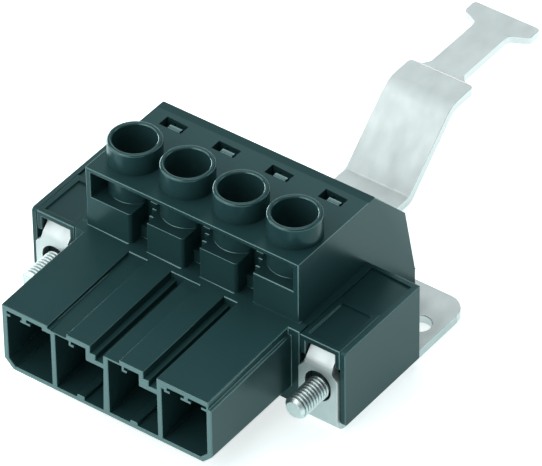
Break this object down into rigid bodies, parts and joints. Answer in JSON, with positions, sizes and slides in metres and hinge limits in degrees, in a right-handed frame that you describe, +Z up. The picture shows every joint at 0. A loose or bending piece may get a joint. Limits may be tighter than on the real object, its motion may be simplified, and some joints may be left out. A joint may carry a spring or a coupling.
{
  "type": "pluggable power connector",
  "caption": "Plug-in power connector with screw-clamp wire entries, keyed sockets, captive flange screws and a folded shield plate with a T-ended arm.",
  "frame": {"origin": "underside of the shield plate, below the middle of the row of clamp screws", "axes": "+X along the row of poles, +Y towards the wires and the shield arm, +Z up through the chimneys"},
  "size_m": [0.0452, 0.081, 0.0241],
  "materials": {
    "black_moulding": "satin black moulding",
    "insert_moulding": "satin black moulding",
    "sheet_steel": "satin tinned sheet",
    "plated_screw": "zinc plated",
    "plated_yoke": "zinc plated",
    "tinned_contact": "tinned copper alloy"
  },
  "bodies": {
    "connector": {"housing": "black_moulding", "wire_hood": "black_moulding", "shield_plate": "sheet_steel", "flange_insert_left": "insert_moulding", "flange_insert_right": "insert_moulding", "contact_1": "tinned_contact", "contact_2": "tinned_contact", "contact_3": "tinned_contact", "contact_4": "tinned_contact"},
    "clamp_screw_body_1": {"clamp_screw_1": "plated_screw"},
    "clamp_yoke_body_1": {"clamp_yoke_1": "plated_yoke"},
    "clamp_screw_body_2": {"clamp_screw_2": "plated_screw"},
    "clamp_yoke_body_2": {"clamp_yoke_2": "plated_yoke"},
    "clamp_screw_body_3": {"clamp_screw_3": "plated_screw"},
    "clamp_yoke_body_3": {"clamp_yoke_3": "plated_yoke"},
    "clamp_screw_body_4": {"clamp_screw_4": "plated_screw"},
    "clamp_yoke_body_4": {"clamp_yoke_4": "plated_yoke"},
    "flange_screw_body_left": {"flange_screw_left": "plated_screw"},
    "flange_screw_body_right": {"flange_screw_right": "plated_screw"}
  },
  "joints": [
    {"name": "clamp_screw_1_turn", "type": "hinge", "parent": "connector", "child": "clamp_screw_body_1", "pos_m": [-0.01143, 0, 0.0178], "axis": [0, 0, -1], "range_deg": [0, 1872]},
    {"name": "clamp_yoke_1_lift", "type": "slide", "parent": "connector", "child": "clamp_yoke_body_1", "axis": [0, 0, 1], "range_m": [0, 0.0026]},
    {"name": "clamp_screw_2_turn", "type": "hinge", "parent": "connector", "child": "clamp_screw_body_2", "pos_m": [-0.00381, 0, 0.0178], "axis": [0, 0, -1], "range_deg": [0, 1872]},
    {"name": "clamp_yoke_2_lift", "type": "slide", "parent": "connector", "child": "clamp_yoke_body_2", "axis": [0, 0, 1], "range_m": [0, 0.0026]},
    {"name": "clamp_screw_3_turn", "type": "hinge", "parent": "connector", "child": "clamp_screw_body_3", "pos_m": [0.00381, 0, 0.0178], "axis": [0, 0, -1], "range_deg": [0, 1872]},
    {"name": "clamp_yoke_3_lift", "type": "slide", "parent": "connector", "child": "clamp_yoke_body_3", "axis": [0, 0, 1], "range_m": [0, 0.0026]},
    {"name": "clamp_screw_4_turn", "type": "hinge", "parent": "connector", "child": "clamp_screw_body_4", "pos_m": [0.01143, 0, 0.0178], "axis": [0, 0, -1], "range_deg": [0, 1872]},
    {"name": "clamp_yoke_4_lift", "type": "slide", "parent": "connector", "child": "clamp_yoke_body_4", "axis": [0, 0, 1], "range_m": [0, 0.0026]},
    {"name": "flange_screw_left_turn", "type": "hinge", "parent": "connector", "child": "flange_screw_body_left", "pos_m": [-0.01905, -0.002, 0.0058], "axis": [0, -1, 0], "continuous": true},
    {"name": "flange_screw_right_turn", "type": "hinge", "parent": "connector", "child": "flange_screw_body_right", "pos_m": [0.01905, -0.002, 0.0058], "axis": [0, -1, 0], "continuous": true}
  ],
  "couplings": [
    {"joint": "clamp_screw_1_turn", "follows": "clamp_yoke_1_lift", "rad_per_m": 12566},
    {"joint": "clamp_screw_2_turn", "follows": "clamp_yoke_2_lift", "rad_per_m": 12566},
    {"joint": "clamp_screw_3_turn", "follows": "clamp_yoke_3_lift", "rad_per_m": 12566},
    {"joint": "clamp_screw_4_turn", "follows": "clamp_yoke_4_lift", "rad_per_m": 12566}
  ]
}
